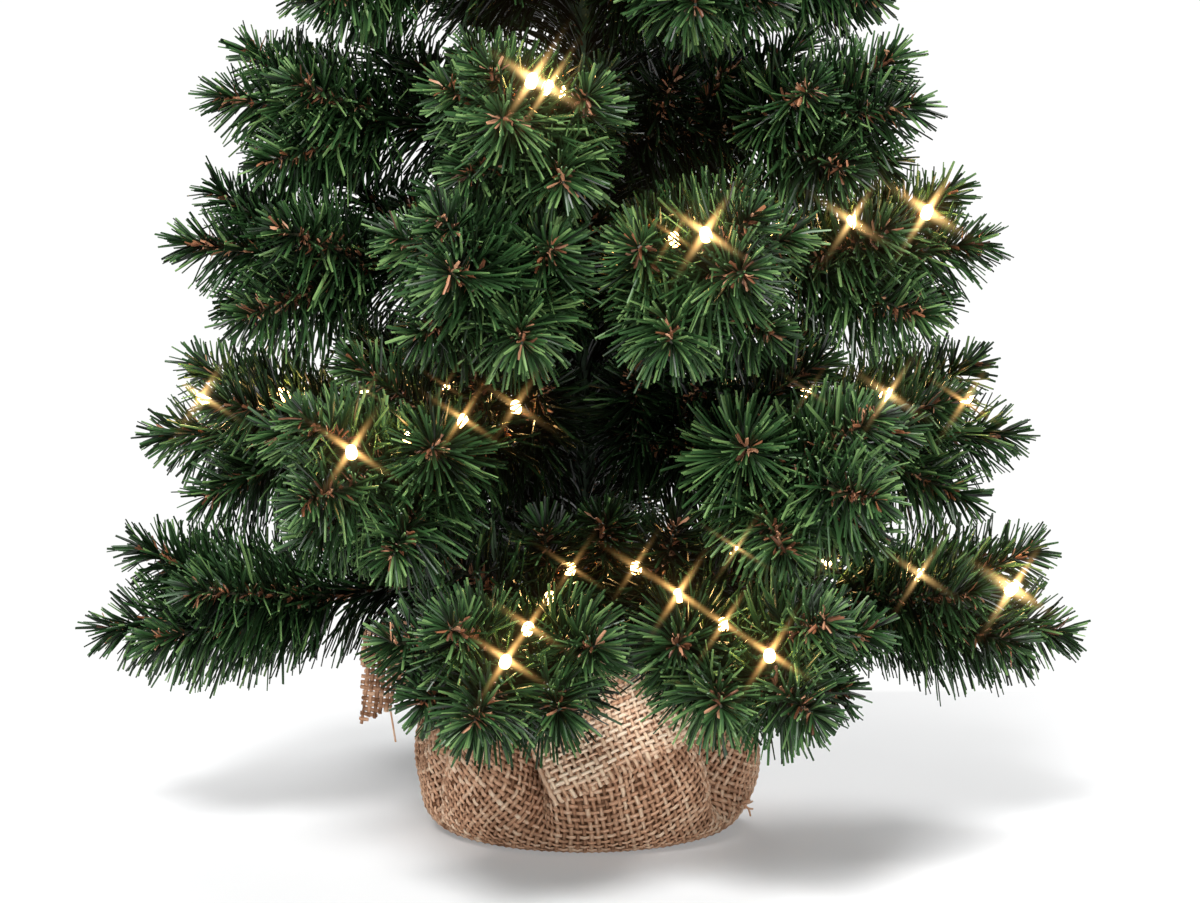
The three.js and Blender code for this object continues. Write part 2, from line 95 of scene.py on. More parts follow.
CABLE_RADIUS, CABLE_GAP = 0.9, 1.7
FIRST_BULB, BULB_PITCH, BULBS_PER_RUN = 0.25, 0.2, 4  # place and pitch as shares of the main wire
RUN_BULBS = tuple(FIRST_BULB + i * BULB_PITCH for i in range(BULBS_PER_RUN))
RUN_TURN = 65  # where round the wire the cable lies, in degrees up from its cable side
RUN_CREST = (0.55, 90)  # share and turn at which the cable passes over the wire, between two bulbs
BULB_LENGTH, BULB_RADIUS = 13.0, 2.4
BULB_CLEARING = 10.5  # how far the needles keep from a bulb's middle
TRUNK_CABLE_AZIMUTH = 40
HOT_SPOT, LENS_GLOW = 170, 16  # strength of a bulb's light in its middle and at its rim

# ---- burlap ----

SACK_PROFILE = (
    (58, 0.6), (66, 3.5), (72, 12), (75.5, 28), (73, 46), (60.5, 66), (44, 82), (24, 95), (11.8, 103),
    (11.4, 112),
)  # radius and height of the plain outline
THREAD_PITCH = 3.1
THREAD_HALF_WIDTH = 0.92
THREAD_HALF_HEIGHT = 0.5
WEAVE_DEPTH = 0.42
FLAP_PITCH, CORNER_PITCH = 2.7, 2.4  # the tighter threads of the front flap and of the loose corners
FRINGE = 3.4  # how far the flap's yarns stand past its last cross yarn
FLAP_HEM, FLAP_HEIGHT = 73.0, 92
FLAP_TILT = math.radians(26)  # of its hem against the floor
FLAP_CORNER_AZIMUTH, FLAP_CORNER_RUN = 261, 36.0  # its lowest corner; the run is up the sack's outline

# ---- stage, in metres and watts ----

SWEEP_LINE = 0.30  # behind the pole, where the floor turns pure white
SWEEP_SOFTNESS = 0.012
SHADE_NEAR, SHADE_FAR = 0.20, 0.52  # distances between which the floor's shade fades out
SHADOW_LIFT = 0.25  # how much of the floor's shade is washed out next to the tree
PURE_WHITE = 1.02
FILL_LIGHT = 0.05  # strength of the even light on everything
CAMERA_DISTANCE, CAMERA_ELEVATION = 2.0, 8  # elevation in degrees
CAMERA_AIM = (0.0066, 0, 0.167)
FRAME_WIDTH = 0.528  # at the pole
SENSOR_WIDTH = 36  # millimetres
FLOOR_SIZE = 40.0

SWATCHES = 24  # shades on the colour chart of a piece

rng = np.random.default_rng(20)


# ---- small helpers ----

def add_object(name, data):
    """A new object in the scene."""
    obj = bpy.data.objects.new(name, data)
    bpy.context.scene.collection.objects.link(obj)
    return obj


def unit(v):
    return v / np.linalg.norm(v, axis=-1, keepdims=True)


def smoothstep(low, high, x):
    t = np.clip((x - low) / (high - low), 0, 1)
    return t * t * (3 - 2 * t)


def turned_from(a, b, angle):
    """Vectors at angle, in radians, from a towards b."""
    return a * np.cos(angle)[:, None] + b * np.sin(angle)[:, None]


def circle(turn):
    """Level unit vectors at angles in radians."""
    return np.stack([np.cos(turn), np.sin(turn), 0 * turn], -1)


def box_mm(node):
    return [np.array(corner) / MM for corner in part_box(node)]


def heading(yaw, rise):
    a, e = math.radians(yaw), math.radians(rise)
    return np.array([math.cos(a) * math.cos(e), math.sin(a) * math.cos(e), math.sin(e)])


class Bow:
    """A gentle curve from start along direction, lifting by lift at its end."""

    def __init__(self, start, direction, length, lift):
        self.start = start
        self.middle = start + direction * length / 2
        self.end = start + direction * length + UP * lift
        self.length = length

    def at(self, t):
        t = np.asarray(t, float)[..., None]
        return self.start * (1 - t) ** 2 + self.middle * 2 * t * (1 - t) + self.end * t ** 2

    def tangent(self, t):
        t = np.asarray(t, float)[..., None]
        return unit((self.middle - self.start) * (1 - t) + (self.end - self.middle) * t)


def spline(points, count):
    """count points, evenly spaced by length, on a Catmull-Rom curve through points."""
    p = np.asarray(points, float)
    p = np.vstack([2 * p[0] - p[1], p, 2 * p[-1] - p[-2]])
    t = np.linspace(0, 1, 24, endpoint=False)[:, None]
    parts = []
    for a, b, c, d in zip(p, p[1:], p[2:], p[3:]):
        square = (2 * a - 5 * b + 4 * c - d) * t ** 2
        cube = (3 * b - a - 3 * c + d) * t ** 3
        parts.append(0.5 * (2 * b + (c - a) * t + square + cube))
    fine = np.vstack([*parts, p[-2][None]])
    run = np.concatenate([[0], np.cumsum(np.linalg.norm(np.diff(fine, axis=0), axis=1))])
    even = np.linspace(0, run[-1], count)
    return np.stack([np.interp(even, run, fine[:, k]) for k in range(fine.shape[1])], axis=1)


def swatch_uvs(faces, shade, material):
    """Texture places of faces on a colour chart: a column for each shade, a band for each material."""
    mean = shade[faces].mean(axis=1)
    column = np.clip((mean * SWATCHES).astype(int), 0, SWATCHES - 1)
    corner = np.arange(faces.shape[1])
    u = (column[:, None] + np.where((corner == 1) | (corner == 2), 0.9, 0.1)) / SWATCHES
    v = (material % 3 + np.where(corner >= 2, 0.9, 0.1)) / 3 + 0 * u
    return np.stack([u, v], -1).reshape(-1, 2)


class Shape:
    """Points and faces gathered from many parts, in millimetres. Each point has a shade, and its share of the
    way along its needle or bulb."""

    def __init__(self):
        self.points, self.shade, self.along, self.uvs = [], [], [], []
        self.faces, self.materials = [], []
        self.count = 0

    def add(self, points, faces, material=0, shade=0.5, along=0.5):
        points = np.asarray(points, float).reshape(-1, 3)
        self.points.append(points)
        self.shade.append(np.broadcast_to(shade, len(points)))
        self.along.append(np.broadcast_to(along, len(points)))
        for group in faces:
            group = np.asarray(group, np.int64)
            self.uvs.append(swatch_uvs(group, np.broadcast_to(shade, len(points)), material))
            self.faces.append(group + self.count)
            self.materials.append(np.full(len(group), material))
        self.count += len(points)

    def piece(self, name, materials, replaces=(), body=BODY, smooth=True):
        """Makes the mesh object, in metres, and rides it on its body."""
        mesh = bpy.data.meshes.new(name)
        points = np.vstack(self.points) * MM
        sizes = np.concatenate([np.full(len(f), f.shape[1]) for f in self.faces])
        loops = np.concatenate([f.ravel() for f in self.faces])
        mesh.vertices.add(len(points))
        mesh.vertices.foreach_set("co", points.astype(np.float32).ravel())
        mesh.loops.add(len(loops))
        mesh.loops.foreach_set("vertex_index", loops.astype(np.int32))
        mesh.polygons.add(len(sizes))
        starts = np.concatenate([[0], np.cumsum(sizes)[:-1]])
        mesh.polygons.foreach_set("loop_start", starts.astype(np.int32))
        mesh.polygons.foreach_set("material_index", np.concatenate(self.materials).astype(np.int32))
        mesh.polygons.foreach_set("use_smooth", np.full(len(sizes), smooth))
        mesh.update(calc_edges=True)
        for key in ("shade", "along"):
            layer = mesh.attributes.new(key, "FLOAT", "POINT")
            layer.data.foreach_set("value", np.concatenate(getattr(self, key)).astype(np.float32))
        swatches = mesh.uv_layers.new(name="OFBake")
        swatches.data.foreach_set("uv", np.concatenate(self.uvs).astype(np.float32).ravel())
        for material in materials:
            mesh.materials.append(material)
        obj = add_object(name, mesh)
        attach(obj, body)
        if replaces:
            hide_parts(*replaces)
        return obj


def ring_faces(rings, sides):
    """Quads between rings of points, and a fan over each end, whose middle points come after the rings."""
    r, s = np.meshgrid(np.arange(rings - 1), np.arange(sides), indexing="ij")
    a, b = r * sides + s, r * sides + (s + 1) % sides
    quads = np.stack([a, b, b + sides, a + sides], -1).reshape(-1, 4)
    s = np.arange(sides)
    last = (rings - 1) * sides
    first_fan = np.stack([np.full(sides, rings * sides), (s + 1) % sides, s], -1)
    last_fan = np.stack([np.full(sides, rings * sides + 1), last + s, last + (s + 1) % sides], -1)
    return [quads, np.vstack([first_fan, last_fan])]


def sweep(path, across, over, half_width, half_height, sides):
    """A closed tube along path: across and over are unit vectors of its section at each point."""
    turn = np.arange(sides) / sides * 2 * np.pi
    width = np.broadcast_to(half_width, len(path))[:, None, None]
    height = np.broadcast_to(half_height, len(path))[:, None, None]
    rings = (path[:, None] + across[:, None] * np.cos(turn)[:, None] * width
             + over[:, None] * np.sin(turn)[:, None] * height)
    points = np.vstack([rings.reshape(-1, 3), path[:1], path[-1:]])
    return points, ring_faces(len(path), sides)


def tube(path, radius, sides):
    """A closed round tube along path, which may turn any way."""
    tangent = unit(np.gradient(path, axis=0))
    across = np.empty_like(path)
    guess = np.cross(tangent[0], UP)
    across[0] = unit(guess if np.linalg.norm(guess) > 0.1 else np.cross(tangent[0], [1.0, 0, 0]))
    for i in range(1, len(path)):
        across[i] = unit(across[i - 1] - tangent[i] * np.dot(across[i - 1], tangent[i]))
    return sweep(path, across, np.cross(tangent, across), radius, radius, sides)


def turned(profile, start, direction, sides):
    """A closed solid of revolution: profile holds (radius, distance along direction from start)."""
    radius, reach = np.asarray(profile, float).T
    direction = unit(np.asarray(direction, float))
    helper = np.array([1.0, 0, 0]) if abs(direction[0]) < 0.8 else np.array([0, 1.0, 0])
    across = unit(np.cross(direction, helper))
    path = start + reach[:, None] * direction
    all_across = np.tile(across, (len(path), 1))
    all_over = np.tile(np.cross(direction, across), (len(path), 1))
    return sweep(path, all_across, all_over, radius, radius, sides)


# ---- materials ----

class Material:
    """A node material under construction."""

    def __init__(self, name, roughness=0.5, metallic=0.0, **inputs):
        self.material = bpy.data.materials.new(name)
        self.material.use_nodes = True
        self.nodes = self.material.node_tree.nodes
        self.links = self.material.node_tree.links
        self.shader = self.nodes["Principled BSDF"]
        self.shader.inputs["Roughness"].default_value = roughness
        self.shader.inputs["Metallic"].default_value = metallic
        for key, value in inputs.items():
            self.shader.inputs[key.replace("_", " ")].default_value = value

    def node(self, kind, **settings):
        made = self.nodes.new(kind)
        for key, value in settings.items():
            if hasattr(made, key):
                setattr(made, key, value)
            else:
                made.inputs[key.replace("_", " ")].default_value = value
        return made

    def link(self, source, target):
        self.links.new(source, target)

    def attribute(self, name):
        return self.node("ShaderNodeAttribute", attribute_name=name).outputs["Fac"]

    def position(self):
        return self.node("ShaderNodeTexCoord").outputs["Object"]

    def noise(self, scale, detail=3.0, vector=None):
        made = self.node("ShaderNodeTexNoise", Scale=scale, Detail=detail)
        self.link(vector or self.position(), made.inputs["Vector"])
        return made.outputs["Fac"]

    def math(self, operation, a, b):
        made = self.node("ShaderNodeMath", operation=operation)
        for socket, value in zip(made.inputs, (a, b)):
            if isinstance(value, (int, float)):
                socket.default_value = value
            else:
                self.link(value, socket)
        return made.outputs[0]

    def ramp(self, factor, *stops):
        made = self.node("ShaderNodeValToRGB")
        elements = made.color_ramp.elements
        while len(elements) < len(stops):
            elements.new(0.5)
        for element, (place, colour) in zip(elements, stops):
            element.position = place
            element.color = (*colour, 1)
        self.link(factor, made.inputs["Fac"])
        return made.outputs["Color"]

    def bump(self, height, strength, distance):
        made = self.node("ShaderNodeBump", Strength=strength, Distance=distance)
        self.link(height, made.inputs["Height"])
        self.link(made.outputs["Normal"], self.shader.inputs["Normal"])

    def colour(self, socket):
        self.link(socket, self.shader.inputs["Base Color"])

    def mottled(self, scale, dark, light):
        self.colour(self.ramp(self.noise(scale), (0.3, dark), (0.7, light)))

    def roughness(self, factor, low, high):
        made = self.node("ShaderNodeMapRange", To_Min=low, To_Max=high)
        self.link(factor, made.inputs["Value"])
        self.link(made.outputs["Result"], self.shader.inputs["Roughness"])


def needle_material():
    """Glossy PVC strip: every strip has its own green, darker at its root. The darker root, and the darker
    needles near the pole, are painted shade of the foliage's inside.
    """
    m = Material("needle_pvc", roughness=0.34, Specular_IOR_Level=0.3)
    # painted shade: the colour darkens towards the needle's root
    along = m.math("SUBTRACT", m.math("MULTIPLY", m.attribute("along"), 0.4), 0.16)
    shade = m.math("ADD", m.attribute("shade"), along)
    m.colour(m.ramp(shade, (0.0, (0.001, 0.002, 0.001)), (0.4, (0.006, 0.017, 0.005)),
                    (0.72, (0.030, 0.082, 0.024)), (1.0, (0.150, 0.260, 0.085))))
    m.roughness(m.attribute("shade"), 0.28, 0.46)
    return m.material


def bark_material():
    """Short brown strips that imitate bark scales."""
    m = Material("bark_pvc", roughness=0.5)
    m.colour(m.ramp(m.attribute("shade"), (0.0, (0.080, 0.030, 0.015)), (0.6, (0.300, 0.115, 0.050)),
                    (1.0, (0.620, 0.330, 0.190))))
    return m.material


def wire_material():
    """Twisted steel wire with a dark green lacquer."""
    m = Material("branch_wire", roughness=0.5, metallic=0.3)
    m.mottled(400, (0.012, 0.022, 0.010), (0.045, 0.040, 0.022))
    return m.material


def cable_material():
    m = Material("cable_pvc", roughness=0.4)
    m.mottled(250, (0.006, 0.035, 0.012), (0.014, 0.065, 0.022))
    m.bump(m.noise(900), 0.15, 0.0002)
    return m.material


def bulb_material():
    """A clear warm white LED cap, brightest in its middle."""
    m = Material("bulb_lens", roughness=0.15, Coat_Weight=0.6)
    m.shader.inputs["Base Color"].default_value = (1.0, 0.80, 0.45, 1)
    glow = m.ramp(m.attribute("along"), (0.0, (1.0, 0.40, 0.08)), (0.5, (1.0, 0.68, 0.28)),
                  (1.0, (1.0, 0.50, 0.14)))
    m.link(glow, m.shader.inputs["Emission Color"])
    facing = m.node("ShaderNodeLayerWeight", Blend=0.5).outputs["Facing"]
    strength = m.node("ShaderNodeMapRange", From_Max=0.16, To_Min=HOT_SPOT, To_Max=LENS_GLOW)
    m.link(facing, strength.inputs["Value"])
    m.link(strength.outputs["Result"], m.shader.inputs["Emission Strength"])
    return m.material


def burlap_material(name, dark, middle, light):
    """Jute yarn: tan with paler and browner stretches and a fibrous grain."""
    m = Material(name, roughness=0.92, Specular_IOR_Level=0.15)
    patches = m.noise(220, 4)
    mixed = m.math("ADD", m.math("MULTIPLY", m.attribute("shade"), 0.62), m.math("MULTIPLY", patches, 0.55))
    m.colour(m.ramp(mixed, (0.28, dark), (0.55, middle), (0.82, light)))
    m.bump(m.noise(2600, 5), 0.6, 0.0004)
    return m.material


def tape_material():
    """Matte green floral tape, wrinkled."""
    m = Material("floral_tape", roughness=0.7)
    m.mottled(180, (0.010, 0.030, 0.012), (0.024, 0.060, 0.022))
    m.bump(m.noise(700), 0.5, 0.0006)
    return m.material


def plastic_material(name, dark, light, roughness, grain):
    m = Material(name, roughness=roughness)
    m.mottled(60, dark, light)
    m.roughness(m.noise(900), roughness - 0.08, roughness + 0.12)
    m.bump(m.noise(grain), 0.25, 0.0002)
    return m.material


def metal_material(name, dark, light):
    m = Material(name, roughness=0.3, metallic=1.0)
    m.mottled(500, dark, light)
    m.roughness(m.noise(800), 0.22, 0.45)
    return m.material


# ---- branches ----

LOWEST_TIER = min(joint["pos_m"][2] for joint in frame["joints"] if joint["type"] == "hinge") / MM


def branch_tips(joint):
    """The main wire of a branch, its side wires, and the direction of its cable side, from its hinge and its
    CAD solid. Branches on the right half of the tree are mirror images."""
    pivot = np.array(joint["pos_m"]) / MM
    out = np.array([-joint["axis"][1], joint["axis"][0], 0.0])
    side = np.cross(UP, out) * (-1 if out[0] > 0.01 else 1)
    corners = np.array([v.co for v in frame["nodes"][joint["child"]].data.vertices]) / MM - pivot
    middle = corners[np.abs(corners @ side) < 0.05]
    end = middle[np.argmax(middle @ out)]
    lift = 6 if end[2] > 0 else -4
    run, climb = end @ out, end[2] - lift
    length, rise = math.hypot(run, climb), math.degrees(math.atan2(climb, run))

    def turned_heading(yaw, angle):
        x, y, z = heading(yaw, angle)
        return out * x + side * y + UP * z

    sag = LOWEST_TIER_SAG if pivot[2] < LOWEST_TIER + 1 else 1.0
    main = Bow(pivot, turned_heading(0, rise), length, lift)
    sides = []
    for at, share, yaw, angle in SIDE_TIPS:
        climb = rise + angle * (sag if angle < 0 else 1)
        sides.append(Bow(main.at(at), turned_heading(yaw, climb), share * length, 3))
    return main, sides, side


def section(wire, t):
    """Unit vectors along, across and over a wire at shares t of its length."""
    tangent = wire.tangent(t)
    guess = np.cross(tangent, UP)
    if np.min(np.linalg.norm(guess, axis=-1)) < 0.05:
        guess = np.cross(tangent, [0.0, 1.0, 0])
    across = unit(guess)
    return tangent, across, np.cross(across, tangent)


def add_strips(shape, roots, direction, wide, length, width, thickness, bend, shade, material):
    """Many short flat strips at once: each is a blunt bar of three rings, bent sideways by bend."""
    thick = unit(np.cross(direction, wide))
    wide = np.cross(thick, direction)
    stations = np.array([0.0, 0.5, 1.0])
    taper = np.array([0.75, 1.0, 0.72])
    centre = (roots[:, None] + direction[:, None] * (length[:, None] * stations)[..., None]
              + bend[:, None] * (length[:, None] * stations ** 2)[..., None])
    half_w = (wide * width[:, None] / 2)[:, None] * taper[:, None]
    half_t = (thick * thickness / 2)[:, None] * taper[:, None]
    rings = np.stack([centre + half_w, centre + half_t, centre - half_w, centre - half_t], axis=2)
    count = len(roots)
    step = np.arange(count)[:, None, None] * 12
    side = np.array([[r * 4 + s, r * 4 + (s + 1) % 4, r * 4 + 4 + (s + 1) % 4, r * 4 + 4 + s]
                     for r in range(2) for s in range(4)])
    caps = np.array([[3, 2, 1, 0], [8, 9, 10, 11]])
    faces = (np.vstack([side, caps])[None] + step).reshape(-1, 4)
    shades = np.repeat(shade, 12)
    along = np.tile(np.repeat(stations, 4), count)
    shape.add(rings.reshape(-1, 3), [faces], material, shades, along)


def around(wire, t, spin):
    """Unit vectors along a wire at shares t of its length, and away from it at spin."""
    tangent, across, over = section(wire, t)
    return tangent, turned_from(across, over, spin)


def painted_heart_shade(roots):
    """Painted shade of the tree's inside: how much darker needles are for being near the pole."""
    reach = PAINTED_HEART_SHARE * FOLIAGE_RADIUS * np.clip(1 - roots[:, 2] / OUTLINE_TOP, 0.05, 1)
    from_pole = np.linalg.norm(roots[:, :2], axis=1)
    return PAINTED_HEART_SHADE * (1 - smoothstep(0.35, 1, from_pole / reach))


def clear_of(bulbs, roots, needles):
    """Which needles keep clear of the bulbs at three places of their length."""
    free = np.ones(len(roots), bool)
    for bulb in bulbs:
        for part in (0.45, 0.7, 1.0):
            free &= np.linalg.norm(roots + needles * part - bulb, axis=1) > BULB_CLEARING
    return free


def add_needles(shape, wire, bare, shade_bias, needle_length, pointed, bulbs):
    """The needle strips of one brush. They part round the bulbs."""
    count = int(wire.length * (1 - bare) * NEEDLES_PER_MM)
    order = np.clip((np.arange(count) + rng.uniform(-0.4, 0.4, count)) / count, 0, 1)
    t = bare + (1 - bare) * order
    to_end = (1 - t) * wire.length if pointed else np.full(count, 100.0)
    spin = (t * wire.length / HELIX_PITCH + np.arange(count) % 2 * 0.5) * 2 * np.pi
    spin = spin + rng.normal(0, SPIN_SPREAD, count) + rng.uniform(0, 6.28)
    tangent, radial = around(wire, t, spin)
    lean = TIP_LEAN + (NEEDLE_LEAN - TIP_LEAN) * smoothstep(-4, 18, to_end)
    lean = np.radians(lean + rng.normal(0, LEAN_SPREAD, count))
    direction = turned_from(tangent, radial, lean)
    full = 0.46 + 0.54 * smoothstep(0, 40, to_end)
    full *= 0.82 + 0.18 * smoothstep(0, 16, t * wire.length)
    length = needle_length * full * rng.normal(1, 0.06, count)
    roll = rng.uniform(-1.2, 1.2, count)
    aside = np.cross(radial, tangent)
    wide = turned_from(aside, np.cross(direction, aside), roll)
    bend = tangent * rng.normal(-0.05, 0.07, count)[:, None] + aside * rng.normal(0, 0.07, count)[:, None]
    bend[:, 2] -= 0.05
    roots = wire.at(t) + radial * 0.7
    # each needle's random tone, made darker near the pole as painted shade
    shade = rng.normal(MEAN_SHADE + shade_bias, SHADE_SPREAD, count) - painted_heart_shade(roots)
    shade = np.clip(shade, 0, 1)
    width = NEEDLE_WIDTH * rng.uniform(0.8, 1.1, count)
    free = clear_of(bulbs, roots, direction * length[:, None])
    add_strips(shape, roots[free], direction[free], wide[free], length[free], width[free], NEEDLE_THICKNESS,
               bend[free], shade[free], 0)


def add_bark(shape, wire, bare):
    """The bark scales of one brush."""
    count = int(wire.length * (1 - bare) * BARK_PER_MM)
    t = bare + (1 - bare) * rng.uniform(0, 1, count)
    tangent, radial = around(wire, t, rng.uniform(0, 2 * np.pi, count))
    lean = np.radians(rng.uniform(25, 75, count))
    direction = turned_from(tangent, radial, lean)
    bend = rng.normal(0, 0.2, (count, 3))
    length = rng.uniform(3.5, 7.5, count)
    width = rng.uniform(1.1, 1.9, count)
    shade = rng.uniform(0, 1, count)
    add_strips(shape, wire.at(t) + radial * 0.8, direction, np.cross(radial, tangent), length, width,
               BARK_THICKNESS, bend, shade, 1)


def add_brush(shape, wire, bare, shade_bias, needle_length=NEEDLE_LENGTH, pointed=True, bulbs=()):
    add_needles(shape, wire, bare, shade_bias, needle_length, pointed, bulbs)
    add_bark(shape, wire, bare)


def add_twisted_wire(shape, wire, start, end, radius, material):
    """Two strands twisted together between two shares of a wire."""
    steps = max(8, int((end - start) * wire.length / 1.3))
    t = np.linspace(start, end, steps)
    _, across, over = section(wire, t)
    for strand in (0, 0.5):
        turn = (t * wire.length / 5.0 + strand) * 2 * np.pi
        path = wire.at(t) + turned_from(across, over, turn) * radius * 0.5
        shape.add(*sweep(path, across, over, radius * 0.55, radius * 0.55, 6), material)


def add_plain_wire(shape, wire, start, radius, material):
    t = np.linspace(start, 0.985, 10)
    _, across, over = section(wire, t)
    shape.add(*sweep(wire.at(t), across, over, radius, radius, 5), material)


FOLIAGE = (needle_material(), bark_material(), wire_material())


def inner_twigs(main, side):
    """Short twigs at the foot of a branch, which hide the pole."""
    out = unit(main.tangent(0.0) * [1, 1, 0])
    for at, share, yaw, rise in INNER_TWIGS:
        x, y, z = heading(yaw, rise)
        yield Bow(main.at(at), out * x + side * y + UP * z, share * main.length, 2)


def build_branch(joint, lit):
    main, sides, side = branch_tips(joint)
    bulbs = [foot + way * BULB_LENGTH * 0.8 for foot, way in run_bulbs(main, side)] if lit else ()
    shape = Shape()
    bias = rng.normal(0, 0.04)
    add_brush(shape, main, INNER_BARE_SHARE, bias, bulbs=bulbs)
    add_twisted_wire(shape, main, 0.0, BARE_SHARE + 0.1, WIRE_RADIUS, 2)
    add_plain_wire(shape, main, BARE_SHARE + 0.1, 1.0, 2)
    for wire in (*sides, *inner_twigs(main, side)):
        add_brush(shape, wire, 0.0, bias + rng.normal(0, 0.05), bulbs=bulbs)
        add_plain_wire(shape, wire, 0.0, 0.9, 2)
    name = joint["child"]
    shape.piece(name + "_brush", FOLIAGE, [name], name, smooth=False)


def build_leader():
    low, high = box_mm("top_leader")
    foot = np.array([0, 0, low[2]])
    spire = Bow(foot, UP, high[2] - low[2], 0)
    shape = Shape()
    add_brush(shape, spire, 0.0, 0)
    add_plain_wire(shape, spire, 0.0, 1.4, 2)
    for share, reach, rise, azimuth in LEADER_RINGS:
        for turn in (0, 120, 240):
            wire = Bow(spire.at(share), heading(azimuth + turn, rise), reach, 4)
            add_brush(shape, wire, 0.0, rng.normal(0, 0.05))
            add_plain_wire(shape, wire, 0.0, 0.9, 2)
    shape.piece("top_leader_brush", FOLIAGE, ["top_leader"], smooth=False)


def build_trunk_needles():
    """The needles wound round the pole, between and above the tiers."""
    top = box_mm("trunk_pole")[1][2]
    foot = np.array([0.0, 0.0, TRUNK_NEEDLES_FROM])
    pole = Bow(foot, UP, top - foot[2], 0)
    shape = Shape()
    # shade bias -0.16: painted shade, as these needles lie inside the foliage
    add_brush(shape, pole, 0.0, -0.16, TRUNK_NEEDLE_LENGTH, pointed=False)
    shape.piece("trunk_needles", FOLIAGE, smooth=False)


# ---- light string ----

STRING = (
    cable_material(),
    plastic_material("socket_plastic", (0.006, 0.03, 0.012), (0.012, 0.05, 0.02), 0.4, 800),
    bulb_material(),
)


def outward(main, side, share, turn):
    """The direction away from a main wire at a share of its length, turn degrees up from its cable side."""
    tangent = main.tangent(share)
    over = unit(UP - tangent * tangent[2])
    return over * math.sin(math.radians(turn)) + side * math.cos(math.radians(turn))


def beside(main, side, share, turn):
    """A point of the cable that is laid along a main wire."""
    radius = MAIN_CORE if share > BARE_SHARE else WIRE_RADIUS
    return main.at(share) + outward(main, side, share, turn) * (radius + CABLE_RADIUS + CABLE_GAP)


def run_bulbs(main, side):
    """Where each bulb of a branch starts, and the direction it points in."""
    bulbs = []
    for share in RUN_BULBS:
        direction = unit(outward(main, side, share, RUN_TURN) + 0.6 * main.tangent(share))
        bulbs.append((beside(main, side, share, RUN_TURN), direction))
    return bulbs


def add_bulb(shape, start, direction):
    """A socket with a collar, and a clear lens with a rounded nose."""
    socket = [(1.2, -1.0), (1.75, -0.4), (1.75, 4.4), (2.2, 4.6), (2.2, 5.6), (1.9, 5.9), (1.9, 6.6)]
    shape.add(*turned(socket, start, direction, 12), 1)
    curve = 3.4
    nose = [(BULB_RADIUS * math.cos(a), BULB_LENGTH - curve + curve * math.sin(a))
            for a in np.linspace(0.1, 1.45, 6)]
    rim = 6.2
    lens = [(1.7, rim), (BULB_RADIUS * 0.96, 6.8), (BULB_RADIUS, 7.6), *nose]
    points, faces = turned(lens, start, direction, 12)
    along = ((points - start) @ unit(direction) - rim) / (BULB_LENGTH - rim)
    shape.add(points, faces, 2, along=along)


def build_run(joint, node):
    """The cable of one branch with its bulbs, along the path that its CAD solid takes."""
    main, _, side = branch_tips(joint)
    places = [(share, RUN_TURN) for share in RUN_BULBS]
    stops = [(0.03, 90), (BARE_SHARE, 80), *places[:2], RUN_CREST, *places[2:], (0.88, 50)]
    shape = Shape()
    shape.add(*tube(spline([beside(main, side, *stop) for stop in stops], 60), CABLE_RADIUS, 8), 0)
    for start, direction in run_bulbs(main, side):
        add_bulb(shape, start, direction)
    shape.piece(node + "_string", STRING, [node], joint["child"])


def build_branches():
    lit = {name[-2:]: name for name in frame["nodes"] if name.startswith("light_run_")}
    for joint in frame["joints"]:
        number = joint["child"][-2:]
        if joint["type"] == "hinge":
            build_branch(joint, number in lit)
            if number in lit:
                build_run(joint, lit[number])


# ---- burlap ----

PROFILE = spline(SACK_PROFILE, 220)
PROFILE_RUN = np.concatenate([[0], np.cumsum(np.linalg.norm(np.diff(PROFILE, axis=0), axis=1))])
BASE_EDGE = SACK_PROFILE[0][0]
TUB_RADIUS = box_mm("base_tub")[1][0]
SHEET_RADIUS = BASE_EDGE + PROFILE_RUN[-1]  # of the flat sheet that reaches the neck's rim
FRONT = 286  # azimuth of the sheet's straight middle threads

# Folds of the sack: azimuth at mid height, slant in degrees per mm of height, half width in degrees, and
# depth in mm.
FOLDS = (
    (250, -0.12, 5.0, 25), (326, -0.14, 7.0, 30), (212, 0.22, 4.5, 7), (292, 0.30, 4.0, 4),
    (185, 0.10, 4.0, 11), (18, 0.15, 5.0, 15), (52, -0.20, 4.0, 12), (84, 0.10, 4.5, 15),
    (116, -0.10, 4.0, 12), (152, 0.15, 4.5, 15),
)
FOLD_MIDDLE = 45  # height at which a fold is at its azimuth


def wall_point(rho, azimuth, out):
    """A point of the sack's plain outline at flat radius rho, moved out by out."""
    run = np.clip(rho - BASE_EDGE, 0, PROFILE_RUN[-1])
    radius = np.where(rho < BASE_EDGE, rho, np.interp(run, PROFILE_RUN, PROFILE[:, 0])) + out
    height = np.interp(run, PROFILE_RUN, PROFILE[:, 1])
    return radius[..., None] * circle(np.radians(azimuth)) + height[..., None] * UP


